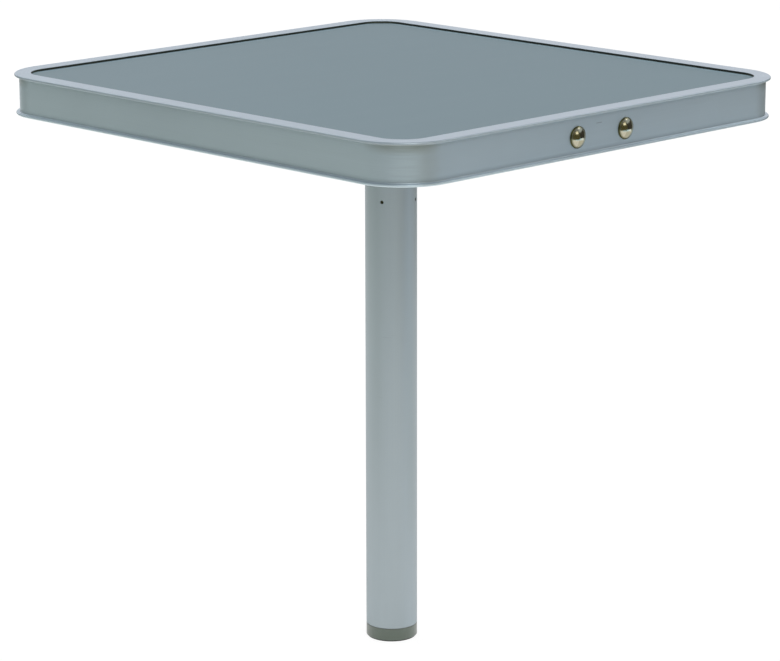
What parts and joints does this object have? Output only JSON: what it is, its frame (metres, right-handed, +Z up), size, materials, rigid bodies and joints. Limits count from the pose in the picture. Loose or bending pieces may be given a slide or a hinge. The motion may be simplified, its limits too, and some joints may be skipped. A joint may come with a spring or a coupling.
{
  "type": "camping table",
  "caption": "Camping table: aluminium-framed laminate top on one round plug-in leg, with a levelling screw foot.",
  "frame": {"origin": "on the floor, on the axis of the leg, which is the middle of the top", "axes": "+Z up; X along the shorter side of the top, Y along the longer side; the domed bolts are on the -Y and +Y sides"},
  "size_m": [0.625, 0.665, 0.672],
  "materials": {
    "rail_aluminium": "satin anodised",
    "leg_aluminium": "satin anodised",
    "plain_aluminium": "mill finish",
    "cast_aluminium": "die cast",
    "panel_face": "matte laminate",
    "panel_wood": "light plywood",
    "panel_back": "plain backing sheet",
    "seal_rubber": "matte",
    "foam_tape": "foam",
    "nickel": "bright nickel plate",
    "zinc_steel": "zinc plated",
    "dark_steel": "black oxide",
    "bush_plastic": "moulded nylon",
    "foot_plastic": "moulded, satin",
    "glide_rubber": "matte"
  },
  "bodies": {
    "leg": {"leg_tube": "leg_aluminium", "guide_ring": "bush_plastic", "ring_screws": "dark_steel", "foot_insert": "bush_plastic"},
    "bush": {"collar_bush": "bush_plastic"},
    "top": {"frame_rail": "rail_aluminium", "seam_plate": "plain_aluminium", "seam_rivets": "plain_aluminium", "panel_laminate": "panel_face", "panel_core": "panel_wood", "panel_backing": "panel_back", "panel_seal": "seal_rubber", "bearer_left": "plain_aluminium", "bearer_right": "plain_aluminium", "bearer_tapes": "foam_tape", "bearer_plugs": "plain_aluminium", "dome_bolts_front": "nickel", "dome_bolts_back": "nickel", "spigot_flange": "cast_aluminium", "flange_bolts": "zinc_steel", "flange_washers": "zinc_steel", "bearer_nuts": "zinc_steel"},
    "glide": {"foot_glide": "glide_rubber"},
    "foot": {"foot_cap": "foot_plastic", "foot_stud": "zinc_steel"}
  },
  "joints": [
    {"name": "top_turn", "type": "hinge", "parent": "leg", "child": "bush", "pos_m": [0, 0, 0.6288], "axis": [0, 0, 1], "continuous": true},
    {"name": "top_lift", "type": "slide", "parent": "bush", "child": "top", "axis": [0, 0, 1], "range_m": [0, 0.1]},
    {"name": "foot_lower", "type": "slide", "parent": "leg", "child": "glide", "axis": [0, 0, -1], "range_m": [0, 0.012]},
    {"name": "foot_turn", "type": "hinge", "parent": "glide", "child": "foot", "pos_m": [0, 0, 0], "axis": [0, 0, -1], "range_deg": [0, 2160]}
  ],
  "couplings": [
    {"joint": "foot_lower", "follows": "foot_turn", "m_per_rad": 0.00031831}
  ]
}
